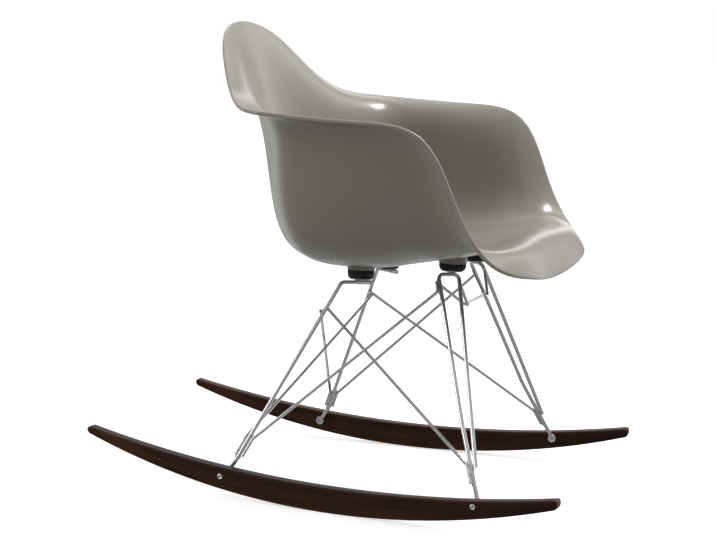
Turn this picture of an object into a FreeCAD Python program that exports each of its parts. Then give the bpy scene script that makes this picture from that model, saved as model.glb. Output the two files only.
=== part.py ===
import FreeCAD, Part
import math
import os
import Sketcher

# Moulded plastic armchair shell on a wire base with two bent wooden rockers.
# Millimetres, +Z up, the sitter faces -Y, the sitter's left is +X.
# The origin is on the floor, below the middle of the rockers.

Vector = FreeCAD.Vector
X_AXIS = Vector(1, 0, 0)
Y_AXIS = Vector(0, 1, 0)
Z_AXIS = Vector(0, 0, 1)
SIDES = {"left": 1, "right": -1}

doc = FreeCAD.newDocument("moulded_rocking_chair")

# Driving dimensions

SIZES = {
    "rocker_length": 690, "rocker_thickness": 20.5, "rocker_spacing": 474, "rocker_toe": 4,
    "rocker_radius": 1074, "rocker_low": -22, "rocker_top_low": -29, "rocker_depth": 34.5,
    "rocker_tip": 9.8, "rocker_tip_round": 4.5, "rocker_bevel": 2.2,
    "bolt_rise": 17.5, "rear_bolt_place": 136, "front_bolt_place": -230.5,
    "bolt_radius": 3, "bolt_head_radius": 4.5, "bolt_head_height": 2.6, "bolt_recess": 2,
    "bush_radius": 6, "bush_length": 9, "fit_gap": 0.1,
    "leg_rod": 3, "brace_rod": 2.25, "rod_bend": 8, "bend_step": 32, "weld_gap": 0.1,
    "rear_pad_across": 63, "rear_pad_place": -1, "front_pad_across": 63, "front_pad_place": -134,
    "pad_radius": 19, "rear_pad_height": 12.5, "front_pad_height": 9.5,
    "plate_radius": 16, "plate_thickness": 2.5, "screw_radius": 3, "screw_hole_radius": 3.2,
    "screw_head_radius": 5, "screw_head_height": 3.2, "screw_reach": 3.5,
    "insert_radius": 4.5, "insert_length": 4, "bar_offset": 9.2, "rear_bar_behind": 30, "rear_bar_ahead": 14,
    "front_bar_behind": 26.5, "front_bar_ahead": 5.5,
    "boss_radius": 20, "boss_drop": 0.6, "boss_height": 24,
    "shell_wall": 5, "seat_height": 314, "seat_centre": -10,
    "ankle_back": 11.5, "ankle_rise": 19, "knee_rise": 91, "knee_in": 6, "knee_back": 5,
    "hair_rise": 40, "long_foot_rise": 26.8, "long_bend_rise": 50.8, "long_bend_drop": 22.4, "long_end_drop": 9.4,
    "short_foot_rise": 24, "short_bend_rise": 46, "short_end_drop": 35,
    "cross_foot_rise": 24.8, "cross_bend_rise": 47.8, "cross_end_drop": 42,
    "tie_across": 56, "tie_place": -153, "tie_drop": 43, "tie_end_drop": 13.4, "tie_bend": 8, "post_drop": 12.4,
}

# The rockers' top arc, so drawn that the rear tip keeps its depth.
DERIVED = {
    "tip_rise": "rocker_radius - sqrt(rocker_radius ^ 2 - (rocker_length / 2 - rocker_low) ^ 2)"
                " + rocker_tip - rocker_depth",
    "rocker_top_radius": "((rocker_length / 2 - rocker_top_low) ^ 2 + tip_rise ^ 2) / (2 * tip_rise)",
}

# The rim of the shell, from the middle of the seat's front edge round the arm to the
# middle of the back's top edge: how far out, where along the chair and how high above
# the seat's lowest point.
RIM = {
    "front_middle": (0, -275, 8), "front_quarter": (92, -276, 11), "front_side": (180, -275, 21),
    "front_corner": (262, -239, 33), "arm_foot": (270, -191, 98), "arm_rise": (283, -152, 225),
    "arm_front": (297, -50, 218), "arm_middle": (289, 60, 221), "arm_rear": (290, 103, 222),
    "shoulder": (207, 154, 229), "back_side": (118, 209, 321), "back_top": (0, 227, 340),
}

# Section of the shell from the seat's centre to the rim at five of those places: for each
# ring of the surface, the share of the way out to the rim and the height above the seat.
SECTIONS = {
    "front_middle": ((0.28, 8), (0.50, 30), (0.70, 50), (0.87, 72), (0.99, 50)),
    "front_corner": ((0.23, 9.5), (0.47, 30), (0.68, 41), (0.85, 56), (0.94, 57)),
    "arm_front": ((0.25, 1), (0.50, 13), (0.75, 40), (0.87, 126), (0.89, 220)),
    "shoulder": ((0.26, 0), (0.47, 9), (0.64, 45), (0.72, 127), (0.73, 233)),
    "back_top": ((0.30, 0), (0.49, 6), (0.60, 34), (0.66, 126), (0.82, 247)),
}

# How far out the shell's rings lie, from the first ring of the table to the rim at 4.
LEVELS = (0.2, 0.45, 0.7, 1, 1.3, 1.7, 2.1, 2.5, 3, 3.5, 3.8, 4)

sheet = doc.addObject("Spreadsheet::Sheet", "Sizes")
row = 0


def add_cell(alias, value):
    """Write one named plain number or formula into the sheet."""
    global row
    row += 1
    sheet.set("A%d" % row, alias)
    sheet.set("B%d" % row, str(value))
    sheet.setAlias("B%d" % row, alias)


for name, value in SIZES.items():
    add_cell(name, value)
for name, formula in DERIVED.items():
    add_cell(name, "=" + formula)
for station, place in RIM.items():
    for part, value in zip(("across", "along", "height"), place):
        add_cell("%s_%s" % (station, part), value)
for station, rings in SECTIONS.items():
    for ring, (share, height) in enumerate(rings, 1):
        add_cell("%s_share_%d" % (station, ring), share)
        add_cell("%s_rise_%d" % (station, ring), height)
doc.recompute()


def size(alias):
    return float(sheet.get(alias))


# Turned pieces: a closed profile of radius and height, spun about the local Z axis

def turned(label, profile):
    """profile: pairs of sheet expressions, radius and height, in order round the outline."""
    body = doc.addObject("PartDesign::Body", label)
    body.Label = label
    sketch = body.newObject("Sketcher::SketchObject", label + "_profile")
    plane = [f for f in body.Origin.OriginFeatures if f.Role == "XZ_Plane"][0]
    sketch.AttachmentSupport = [(plane, "")]
    sketch.MapMode = "FlatFace"
    numbers = [(value_of(r), value_of(h)) for r, h in profile]
    count = len(profile)
    for i in range(count):
        start = Vector(numbers[i][0], numbers[i][1], 0)
        end = Vector(numbers[(i + 1) % count][0], numbers[(i + 1) % count][1], 0)
        sketch.addGeometry(Part.LineSegment(start, end), False)
    for i in range(count):
        sketch.addConstraint(Sketcher.Constraint("Coincident", i, 2, (i + 1) % count, 1))
    for i, pair in enumerate(profile):
        for kind, axis, expression, number in zip(("DistanceX", "DistanceY"), (-2, -1), pair, numbers[i]):
            if number == 0:
                sketch.addConstraint(Sketcher.Constraint("PointOnObject", i, 1, axis))
            else:
                index = sketch.addConstraint(Sketcher.Constraint(kind, -1, 1, i, 1, number))
                sketch.setExpression("Constraints[%d]" % index, bound(expression))
    spin = body.newObject("PartDesign::Revolution", label + "_turned")
    spin.Profile = sketch
    spin.ReferenceAxis = (sketch, ["V_Axis"])
    spin.Angle = 360
    sketch.Visibility = False
    return body


def bound(expression):
    """Point each sheet name in an expression at the sheet."""
    words = expression.split()
    return " ".join("Sizes." + word if word in SIZES or word in DERIVED else word for word in words)


def value_of(expression):
    """The value of a sum of sheet names and plain numbers, signs between spaces."""
    total = 0.0
    sign = 1
    for word in expression.split():
        if word in "+-":
            sign = 1 if word == "+" else -1
            continue
        total += sign * (size(word) if word in SIZES or word in DERIVED else float(word))
        sign = 1
    return total


def place(thing, base, direction=Z_AXIS):
    thing.Placement = FreeCAD.Placement(base, FreeCAD.Rotation(Z_AXIS, direction))
    return thing


# Wooden rockers

def arc_height(y, radius, low, lift):
    """Height of a hollow-up arc at y, above the floor."""
    return lift + radius - math.sqrt(radius * radius - (y - low) ** 2)


def rocker_bottom(y):
    return arc_height(y, size("rocker_radius"), size("rocker_low"), 0)


def rocker_top(y):
    return arc_height(y, size("rocker_top_radius"), size("rocker_top_low"), size("rocker_depth"))


def side_frame(side):
    """Placement of a rocker's own frame: local X outwards from its middle plane on the left."""
    out = SIDES[side] * (size("rocker_spacing") - size("rocker_thickness")) / 2
    turn = FreeCAD.Rotation(Z_AXIS, SIDES[side] * size("rocker_toe"))
    return FreeCAD.Placement(Vector(out, 0, 0), turn)


def edges_where(shape, test):
    return ["Edge%d" % (i + 1) for i, edge in enumerate(shape.Edges) if test(edge)]


def rocker(side):
    label = "rocker_" + side
    body = doc.addObject("PartDesign::Body", label)
    body.Label = label
    plane = [f for f in body.Origin.OriginFeatures if f.Role == "YZ_Plane"][0]
    sketch = body.newObject("Sketcher::SketchObject", label + "_outline")
    sketch.AttachmentSupport = [(plane, "")]
    sketch.MapMode = "FlatFace"
    half = size("rocker_length") / 2
    arcs = (("rocker_radius", "rocker_low", 0, rocker_bottom),
            ("rocker_top_radius", "rocker_top_low", size("rocker_depth"), rocker_top))
    for radius, low, lift, height in arcs:
        middle = Vector(size(low), lift, 0)
        ends = [Vector(y, height(y), 0) for y in (-half, half)]
        sketch.addGeometry(Part.Arc(ends[0], middle, ends[1]), False)
    for y in (-half, half):
        sketch.addGeometry(Part.LineSegment(Vector(y, rocker_bottom(y), 0), Vector(y, rocker_top(y), 0)), False)
    for line, at in ((2, 1), (3, 2)):
        sketch.addConstraint(Sketcher.Constraint("Coincident", line, 1, 0, at))
        sketch.addConstraint(Sketcher.Constraint("Coincident", line, 2, 1, at))
        sketch.addConstraint(Sketcher.Constraint("Vertical", line))
    bindings = (
        ("Radius", (0,), size("rocker_radius"), "rocker_radius"),
        ("DistanceX", (-1, 1, 0, 3), size("rocker_low"), "rocker_low"),
        ("DistanceY", (-1, 1, 0, 3), size("rocker_radius"), "rocker_radius"),
        ("Radius", (1,), size("rocker_top_radius"), "rocker_top_radius"),
        ("DistanceX", (-1, 1, 1, 3), size("rocker_top_low"), "rocker_top_low"),
        ("DistanceY", (-1, 1, 1, 3), size("rocker_top_radius") + size("rocker_depth"),
         "rocker_top_radius + rocker_depth"),
        ("DistanceX", (-1, 1, 2, 1), -half, "0 - rocker_length / 2"),
        ("DistanceX", (-1, 1, 3, 1), half, "rocker_length / 2"),
    )
    for kind, points, number, expression in bindings:
        index = sketch.addConstraint(Sketcher.Constraint(kind, *points, number))
        sketch.setExpression("Constraints[%d]" % index, bound(expression))
    pad = body.newObject("PartDesign::Pad", label + "_blank")
    pad.Profile = sketch
    pad.SideType = "Symmetric"
    pad.setExpression("Length", "Sizes.rocker_thickness")
    sketch.Visibility = False
    doc.recompute()
    across = [name for name in edges_where(pad.Shape, lambda e: abs(e.tangentAt(e.FirstParameter).x) > 0.9)]
    tips = body.newObject("PartDesign::Fillet", label + "_tips")
    tips.Base = (pad, across)
    tips.setExpression("Radius", "Sizes.rocker_tip_round")
    doc.recompute()
    flat = edges_where(tips.Shape, lambda e: e.BoundBox.XLength < 0.01)
    bevel = body.newObject("PartDesign::Chamfer", label + "_bevels")
    bevel.Base = (tips, flat)
    bevel.setExpression("Size", "Sizes.rocker_bevel")
    doc.recompute()
    holes = body.newObject("Sketcher::SketchObject", label + "_bolt_holes")
    holes.AttachmentSupport = [(plane, "")]
    holes.MapMode = "FlatFace"
    recess = body.newObject("Sketcher::SketchObject", label + "_bolt_recesses")
    recess.AttachmentSupport = [(plane, "")]
    recess.MapMode = "FlatFace"
    recess.AttachmentOffset = FreeCAD.Placement(Vector(0, 0, SIDES[side] * size("rocker_thickness") / 2),
                                                FreeCAD.Rotation())
    for sketch, radius in ((holes, "bolt_radius + fit_gap"), (recess, "bolt_head_radius + fit_gap")):
        for i, y in enumerate((size("front_bolt_place"), size("rear_bolt_place"))):
            centre = Vector(y, rocker_bottom(y) + size("bolt_rise"), 0)
            sketch.addGeometry(Part.Circle(centre, Vector(0, 0, 1), value_of(radius)), False)
            index = sketch.addConstraint(Sketcher.Constraint("Radius", i, value_of(radius)))
            sketch.setExpression("Constraints[%d]" % index, bound(radius))
            sketch.addConstraint(Sketcher.Constraint("DistanceX", -1, 1, i, 3, centre.x))
            sketch.addConstraint(Sketcher.Constraint("DistanceY", -1, 1, i, 3, centre.y))
        sketch.Visibility = False
    through = body.newObject("PartDesign::Pocket", label + "_bores")
    through.Profile = holes
    through.Type = "ThroughAll"
    through.Midplane = True
    sink = body.newObject("PartDesign::Pocket", label + "_sinks")
    sink.Profile = recess
    sink.Reversed = side == "right"
    sink.setExpression("Length", "Sizes.bolt_recess")
    body.Placement = side_frame(side)
    doc.recompute()
    return body


# Fittings that hold the wire feet to the rockers

def bolt_axis(side, y):
    """Point on the rocker's outer face at a bolt, and the direction from there inwards."""
    frame = side_frame(side)
    outer = SIDES[side] * size("rocker_thickness") / 2
    start = frame.multVec(Vector(outer, y, rocker_bottom(y) + size("bolt_rise")))
    inwards = frame.Rotation.multVec(X_AXIS * -SIDES[side])
    return start, inwards


def pair(label, things):
    """The left and right piece of one kind as one named part."""
    both = doc.addObject("Part::Compound", label)
    both.Links = things
    return both


def bush(side, end):
    y = size(end + "_bolt_place")
    start, inwards = bolt_axis(side, y)
    body = turned("%s_foot_bush_%s" % (end, side), (
        ("bolt_radius + fit_gap", "0"), ("bush_radius", "0"), ("bush_radius", "bush_length"),
        ("bolt_radius + fit_gap", "bush_length")))
    return place(body, start + inwards * size("rocker_thickness"), inwards)


def bolt(side, end):
    y = size(end + "_bolt_place")
    start, inwards = bolt_axis(side, y)
    body = turned("%s_rocker_bolt_%s" % (end, side), (
        ("0", "0 - bolt_head_height"), ("bolt_head_radius", "0 - bolt_head_height"),
        ("bolt_head_radius", "0"),
        ("bolt_radius", "0"), ("bolt_radius", "rocker_thickness - bolt_recess + bush_length - 1"),
        ("0", "rocker_thickness - bolt_recess + bush_length - 1")))
    return place(body, start + inwards * size("bolt_recess"), inwards)


def bush_centre(side, y):
    start, inwards = bolt_axis(side, y)
    return start + inwards * (size("rocker_thickness") + size("bush_length") / 2)


# The moulded shell: a closed surface of rings round the seat's centre

STATIONS = list(RIM)
RINGS = len(SECTIONS["front_middle"])


def section_value(column, ring, part):
    """Blend a section value smoothly between the two nearest drawn sections."""
    drawn = [STATIONS.index(name) for name in SECTIONS]
    for first, last in zip(drawn, drawn[1:]):
        if first <= column <= last:
            t = (column - first) / (last - first)
            t = t * t * (3 - 2 * t)
            a = size("%s_%s_%d" % (STATIONS[first], part, ring))
            b = size("%s_%s_%d" % (STATIONS[last], part, ring))
            return a + (b - a) * t
    raise ValueError(column)


def shell_net():
    """Poles of the middle surface, column by column round the rim, ring by ring outwards."""
    centre = Vector(0, size("seat_centre"), size("seat_height"))
    half = []
    for column, station in enumerate(STATIONS):
        rim = Vector(*[size("%s_%s" % (station, part)) for part in ("across", "along", "height")])
        rim.z += centre.z
        poles = [centre]
        for ring in range(1, RINGS + 1):
            share = section_value(column, ring, "share")
            pole = centre + (rim - centre) * share
            pole.z = centre.z + section_value(column, ring, "rise")
            poles.append(pole)
        poles.append(rim)
        half.append(poles)
    mirrored = [[Vector(-p.x, p.y, p.z) for p in poles] for poles in half[-2:0:-1]]
    return half + mirrored


def offset_net(net, distance):
    """Poles moved along the surface normal, which points into the seat."""
    moved = []
    count = len(net)
    last = len(net[0]) - 1
    for j in range(count):
        column = [net[j][0] + Z_AXIS * distance]
        for i in range(1, last + 1):
            around = net[(j + 1) % count][i] - net[j - 1][i]
            outwards = net[j][min(i + 1, last)] - net[j][i - 1]
            normal = outwards.cross(around).normalize()
            column.append(net[j][i] + normal * distance)
        moved.append(column)
    return moved


def ring_surface(net):
    """Cubic surface through rings of poles, closed round the rim and ending at the last ring."""
    columns = len(net)
    rings = len(net[0])
    surface = Part.BSplineSurface()
    surface.buildFromPolesMultsKnots(
        net, [1] * (columns + 1), [4] + [1] * (rings - 4) + [4],
        list(range(columns + 1)), list(range(rings - 2)), True, False, 3, 3)
    return surface


upper_surface = ring_surface(offset_net(shell_net(), size("shell_wall") / 2))
lower_surface = ring_surface(offset_net(shell_net(), -size("shell_wall") / 2))
lower_face = lower_surface.toShape()


def level_ring(surface, level):
    """The innermost ring of a surface, made flat so that it can carry a flat middle."""
    curve = surface.vIso(level)
    poles = curve.getPoles()
    height = sum(pole.z for pole in poles) / len(poles)
    for number, pole in enumerate(poles, 1):
        curve.setPole(number, Vector(pole.x, pole.y, height))
    return curve


def shell_solid():
    """Ruled bands from ring to ring: up the inside to the rim, over the lip and back below."""
    curves = [level_ring(upper_surface, LEVELS[0])]
    curves += [upper_surface.vIso(level) for level in LEVELS[1:]]
    curves += [lower_surface.vIso(level) for level in LEVELS[:0:-1]]
    curves.append(level_ring(lower_surface, LEVELS[0]))
    return Part.makeLoft([Part.Wire([curve.toShape()]) for curve in curves], True, True)


def height_on(face, x, y):
    """Height at which a vertical line meets a face of the shell."""
    line = Part.LineSegment(Vector(x, y, 0), Vector(x, y, size("seat_height") * 2)).toShape()
    return line.distToShape(face)[1][0][0].z


PADS = {
    end + "_" + side: Vector(SIDES[side] * size(end + "_pad_across"), size(end + "_pad_place"), 0)
    for end in ("rear", "front") for side in SIDES
}
for name, centre in PADS.items():
    edge = [Vector(size("boss_radius"), 0, 0), Vector(0, size("boss_radius"), 0)]
    around = [centre + step * sign for step in edge for sign in (1, -1)]
    centre.z = min(height_on(lower_face, p.x, p.y) for p in around) - size("boss_drop")


def inside_seat(name):
    """Block above the middle of the shell's wall, tilted as the wall is over a mount."""
    centre = PADS[name]
    point = Vector(centre.x, centre.y, height_on(lower_face, centre.x, centre.y))
    normal = lower_face.normalAt(*lower_face.Surface.parameter(point))
    if normal.z < 0:
        normal = -normal
    block = doc.addObject("Part::Box", name + "_boss_trim")
    for side in ("Length", "Width", "Height"):
        block.setExpression(side, "4 * Sizes.boss_radius")
    corner = Vector(-2, -2, 0) * size("boss_radius")
    block.Placement = FreeCAD.Placement(
        point + normal * size("shell_wall") * 0.7, FreeCAD.Rotation(Z_AXIS, normal)) * FreeCAD.Placement(
        corner, FreeCAD.Rotation())
    return block


def seat_shell():
    blank = doc.addObject("Part::Feature", "shell_blank")
    blank.Shape = shell_solid()
    bosses = []
    bores = []
    for name, centre in PADS.items():
        post = doc.addObject("Part::Cylinder", name + "_boss_post")
        post.setExpression("Radius", "Sizes.boss_radius")
        post.setExpression("Height", "Sizes.boss_height")
        post.Placement.Base = centre
        boss = doc.addObject("Part::Cut", name + "_boss")
        boss.Base = post
        boss.Tool = inside_seat(name)
        bosses.append(boss)
        bore = doc.addObject("Part::Cylinder", name + "_insert_bore")
        bore.setExpression("Radius", "Sizes.insert_radius")
        bore.setExpression("Height", "Sizes.insert_length")
        bore.Placement.Base = centre
        bores.append(bore)
    joined = doc.addObject("Part::MultiFuse", "shell_with_bosses")
    joined.Shapes = [blank] + bosses
    drill = doc.addObject("Part::MultiFuse", "insert_bores")
    drill.Shapes = bores
    shell = doc.addObject("Part::Cut", "seat_shell")
    shell.Label = "seat_shell"
    shell.Base = joined
    shell.Tool = drill
    return shell


# Rubber mounts, steel plates and screws under the shell

def ring_piece(label, base, inner, outer, height):
    """Disc or sleeve with a hole through it, standing on base."""
    body = turned(label, ((inner, "0"), (outer, "0"), (outer, height), (inner, height)))
    return place(body, base)


def mounts(end):
    """Pads, plates, inserts and screws under the front or the rear of the seat, in pairs."""
    kinds = {"pads": [], "plates": [], "inserts": [], "screws": []}
    for side in SIDES:
        centre = PADS[end + "_" + side]
        name = "_%s_%s" % (end, side)
        pad_height = end + "_pad_height"
        below_pad = centre - Z_AXIS * size(pad_height)
        below_plate = below_pad - Z_AXIS * size("plate_thickness")
        kinds["pads"].append(ring_piece(
            "pad" + name, below_pad, "screw_hole_radius", "pad_radius", pad_height))
        kinds["plates"].append(ring_piece(
            "plate" + name, below_plate, "screw_hole_radius", "plate_radius", "plate_thickness"))
        kinds["inserts"].append(ring_piece(
            "insert" + name, centre, "screw_radius + fit_gap", "insert_radius", "insert_length"))
        tip = "plate_thickness + %s + screw_reach" % pad_height
        kinds["screws"].append(place(turned("screw" + name, (
            ("0", "0 - screw_head_height"), ("screw_head_radius", "0 - screw_head_height"),
            ("screw_head_radius", "0"), ("screw_radius", "0"), ("screw_radius", tip), ("0", tip))),
            below_plate))
    names = {"pads": "mount_pads", "plates": "mount_plates", "inserts": "thread_inserts",
             "screws": "mount_screws"}
    return [pair("%s_%s" % (names[kind], end), things) for kind, things in kinds.items()]


# Bent steel rods of the base

def rod_corners(points, bend):
    """The rod's corners, each sharp bend divided into a few slighter ones on its arc."""
    corners = [points[0]]
    for before, corner, after in zip(points, points[1:], points[2:]):
        back = (before - corner).normalize()
        ahead = (after - corner).normalize()
        turn = math.pi - back.getAngle(ahead)
        cuts = math.ceil(turn / math.radians(size("bend_step")))
        middle = corner + (back + ahead).normalize() * (bend / math.cos(turn / 2))
        first = (corner + back * bend * math.tan(turn / 2) - middle).normalize()
        axis = ahead.cross(back).normalize()
        for cut in range(cuts):
            lean = FreeCAD.Rotation(axis, math.degrees(turn * (cut + 0.5) / cuts))
            corners.append(middle + lean.multVec(first) * (bend / math.cos(turn / cuts / 2)))
    return corners + [points[-1]]


def rod(label, points, radius, bend="rod_bend"):
    """Round rod along straight runs, mitred at the corners."""
    corners = rod_corners(points, size(bend))
    path = doc.addObject("Part::Feature", label + "_path")
    path.Shape = Part.makePolygon(corners)
    ring = doc.addObject("Part::Circle", label + "_section")
    ring.setExpression("Radius", "Sizes." + radius)
    place(ring, corners[0], (corners[1] - corners[0]).normalize())
    sweep = doc.addObject("Part::Sweep", label)
    sweep.Sections = [ring]
    sweep.Spine = (path, ["Edge%d" % (number + 1) for number in range(len(corners) - 1)])
    sweep.Solid = True
    sweep.Transition = "Right corner"
    return sweep


def coped(label, rod_blank, bush_place):
    """End the rod on the bush's round side."""
    cutter = doc.addObject("Part::Cylinder", label + "_cope")
    cutter.setExpression("Radius", "Sizes.bush_radius + Sizes.weld_gap")
    cutter.setExpression("Height", "Sizes.bush_length")
    cutter.Placement = bush_place
    cut = doc.addObject("Part::Cut", label)
    cut.Label = label
    cut.Base = rod_blank
    cut.Tool = cutter
    return cut


def along(start, end, height):
    """Point at a height on the straight line from start to end."""
    return start + (end - start) * ((height - start.z) / (end.z - start.z))


def beside(line, height, towards, radius="brace_rod"):
    """Axis of a rod that lies against a leg: moved sideways from the leg's axis at a height."""
    start, end = line
    run = (end - start).normalize()
    sideways = (towards - run * towards.dot(run)).normalize()
    return along(start, end, height) + sideways * (size("leg_rod") + size(radius) + size("weld_gap"))


def mirrored(points, side):
    return [Vector(SIDES[side] * p.x, p.y, p.z) for p in points]


def bar_ends(end, direction):
    """Both ends of the rod's level bar, which passes outboard of the mount screw."""
    centre = PADS[end + "_left"]
    height = centre.z - size(end + "_pad_height") - size("plate_thickness") - size("leg_rod") - size("weld_gap")
    out = Vector(-direction.y, direction.x, 0) * size("bar_offset")
    middle = Vector(centre.x, centre.y, height) + out
    return middle - direction * size(end + "_bar_behind"), middle + direction * size(end + "_bar_ahead")


REAR_BUSH = bush_centre("left", size("rear_bolt_place"))
FRONT_BUSH = bush_centre("left", size("front_bolt_place"))
REAR_BAR = bar_ends("rear", Vector(-0.548, -0.837, 0).normalize())
FRONT_BAR = bar_ends("front", Vector(-0.68, -0.733, 0).normalize())
REAR_ANKLE = REAR_BUSH + Vector(0, -size("ankle_back"), size("ankle_rise"))
FRONT_KNEE = along(FRONT_BUSH, FRONT_BAR[0], FRONT_BUSH.z + size("knee_rise"))
FRONT_KNEE += Vector(-size("knee_in"), size("knee_back"), 0)

REAR_LINE = (REAR_ANKLE, REAR_BAR[0])
FRONT_LINE = (FRONT_KNEE, FRONT_BAR[0])
STEM_LINE = (FRONT_BUSH, FRONT_KNEE)


def above(foot, rise):
    return foot.z + size(rise)


def under(bar, drop):
    return bar[0].z - size(drop)


def base_rods(side):
    """The rods of one side, drawn for the left and mirrored for the right."""
    other_sign = 1 if side == "left" else -1
    bushes = {end: bush_placement(side, size(end + "_bolt_place")) for end in ("rear", "front")}
    rear_leg = rod("rear_leg_%s_blank" % side, mirrored([REAR_BUSH, REAR_ANKLE, *REAR_BAR], side), "leg_rod")
    hair_end = beside(STEM_LINE, above(FRONT_BUSH, "hair_rise"), Vector(-0.3, -1, 0), "leg_rod")
    front_leg = rod("front_leg_%s_blank" % side,
                    mirrored([FRONT_BUSH, FRONT_KNEE, *FRONT_BAR, hair_end], side), "leg_rod")
    rods = [coped("rear_leg_" + side, rear_leg, bushes["rear"]),
            coped("front_leg_" + side, front_leg, bushes["front"])]
    outwards = Vector(1, 0.6, 0)
    long_brace = [beside(REAR_LINE, above(REAR_BUSH, "long_foot_rise"), -Y_AXIS),
                  beside(REAR_LINE, above(REAR_BUSH, "long_bend_rise"), -Y_AXIS),
                  beside(FRONT_LINE, under(FRONT_BAR, "long_bend_drop"), outwards),
                  beside(FRONT_LINE, under(FRONT_BAR, "long_end_drop"), outwards)]
    short_brace = [beside(STEM_LINE, above(FRONT_BUSH, "short_foot_rise"), Y_AXIS),
                   beside(STEM_LINE, above(FRONT_BUSH, "short_bend_rise"), Y_AXIS),
                   beside(REAR_LINE, under(REAR_BAR, "short_end_drop"), -X_AXIS)]
    post = [beside((hair_end, FRONT_BAR[1]), under(FRONT_BAR, "post_drop"), -X_AXIS),
            tie_corner() + Vector(1, -size("brace_rod") * 2 - size("weld_gap") * 2, -1)]
    cross = [beside(REAR_LINE, above(REAR_BUSH, "cross_foot_rise"), Y_AXIS),
             beside(REAR_LINE, above(REAR_BUSH, "cross_bend_rise"), Y_AXIS),
             beside(REAR_LINE, under(REAR_BAR, "cross_end_drop"), Y_AXIS * other_sign)]
    cross[2].x = -cross[2].x
    rods.append(rod("side_brace_long_" + side, mirrored(long_brace, side), "brace_rod"))
    rods.append(rod("side_brace_short_" + side, mirrored(short_brace, side), "brace_rod"))
    rods.append(rod("rear_cross_brace_" + side, mirrored(cross, side), "brace_rod"))
    rods.append(rod("front_tie_post_" + side, mirrored(post, side), "brace_rod"))
    return rods


def bush_placement(side, y):
    start, inwards = bolt_axis(side, y)
    return FreeCAD.Placement(start + inwards * size("rocker_thickness"), FreeCAD.Rotation(Z_AXIS, inwards))


def tie_corner():
    return Vector(size("tie_across"), size("tie_place"), under(FRONT_BAR, "tie_drop"))


def front_tie():
    top = beside(FRONT_LINE, under(FRONT_BAR, "tie_end_drop"), -X_AXIS)
    points = [top, tie_corner()]
    return rod("front_tie", points + mirrored(points[::-1], "right"), "brace_rod", "tie_bend")


parts = [seat_shell()]
for end in ("rear", "front"):
    parts += mounts(end)
    parts.append(pair(end + "_foot_bushes", [bush(side, end) for side in SIDES]))
    parts.append(pair(end + "_rocker_bolts", [bolt(side, end) for side in SIDES]))
for side in SIDES:
    parts.append(rocker(side))
    parts += base_rods(side)
parts.append(front_tie())

doc.recompute()

for thing in doc.Objects:
    if "Invalid" in thing.State or "Error" in thing.State:
        raise RuntimeError("%s failed: %s" % (thing.Label, thing.State))
os.makedirs("parts", exist_ok=True)
for part in parts:
    if part.Shape.isNull() or not part.Shape.isValid():
        raise RuntimeError("%s has a bad shape" % part.Label)
    part.Shape.exportStep("parts/%s.step" % part.Label)
print(len(parts), "pieces")
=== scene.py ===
import math

import bmesh
import bpy
import numpy as np
from mathutils import Matrix, Vector


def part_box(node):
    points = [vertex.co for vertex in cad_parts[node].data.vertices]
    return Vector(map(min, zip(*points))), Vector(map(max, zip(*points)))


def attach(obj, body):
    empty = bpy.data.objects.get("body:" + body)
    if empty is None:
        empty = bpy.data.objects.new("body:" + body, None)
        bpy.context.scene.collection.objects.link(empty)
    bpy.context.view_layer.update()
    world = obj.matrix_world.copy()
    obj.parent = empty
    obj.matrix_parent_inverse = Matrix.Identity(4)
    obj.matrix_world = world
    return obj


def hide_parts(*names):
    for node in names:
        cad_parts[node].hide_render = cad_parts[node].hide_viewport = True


# Looks of a moulded armchair on a wire base with two bent wooden rockers.
# Lengths below are millimetres, as in the part's source, and meshes are made in metres.

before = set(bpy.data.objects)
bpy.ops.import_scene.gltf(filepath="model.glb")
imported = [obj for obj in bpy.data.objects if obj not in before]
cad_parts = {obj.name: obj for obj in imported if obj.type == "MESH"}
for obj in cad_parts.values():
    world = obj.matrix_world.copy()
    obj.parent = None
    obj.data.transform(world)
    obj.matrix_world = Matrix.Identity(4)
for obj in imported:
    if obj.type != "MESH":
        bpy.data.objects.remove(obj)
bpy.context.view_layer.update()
MM = 0.001
SIDES = {"left": 1, "right": -1}
UP = Vector((0, 0, 1))


# Small makers for node trees

class Output:
    """One output socket of a node tree, with maths written as operators."""

    def __init__(self, tree, socket):
        self.tree, self.socket = tree, socket

    def maths(self, operation, first, second):
        return self.tree.node("ShaderNodeMath", {"operation": operation}, {0: first, 1: second})

    def __add__(self, other):
        return self.maths("ADD", self, other)

    def __radd__(self, other):
        return self.maths("ADD", other, self)

    def __sub__(self, other):
        return self.maths("SUBTRACT", self, other)

    def __mul__(self, other):
        return self.maths("MULTIPLY", self, other)


class Tree:
    """A node tree that is filled one node at a time."""

    def __init__(self, tree):
        self.tree = tree

    def node(self, kind, settings=(), sockets=(), out=0):
        """Add a node: its settings first, then the values or links of its sockets."""
        made = self.tree.nodes.new(kind)
        for name, value in dict(settings).items():
            if name == "stops":
                ramp = made.color_ramp.elements
                while len(ramp) < len(value):
                    ramp.new(0.5)
                for stop, (at, shade) in zip(ramp, value):
                    stop.position = at
                    stop.color = (*shade, 1) if hasattr(shade, "__len__") else (shade, shade, shade, 1)
            else:
                setattr(made, name, value)
        for name, value in dict(sockets).items():
            if isinstance(value, Output):
                self.tree.links.new(value.socket, made.inputs[name])
            else:
                made.inputs[name].default_value = value
        return Output(self, made.outputs[out]) if len(made.outputs) else None

    def ramp(self, value, *stops):
        """Colour or grey that a value picks between stops, which are (place, shade)."""
        return self.node("ShaderNodeValToRGB", {"stops": stops}, {"Fac": value})

    def blend(self, share, first, second, mode="MIX"):
        """Mix of two colours."""
        return self.node("ShaderNodeMix", {"data_type": "RGBA", "blend_type": mode, "clamp_factor": True},
                         {0: share, 6: first, 7: second}, 2)


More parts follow.
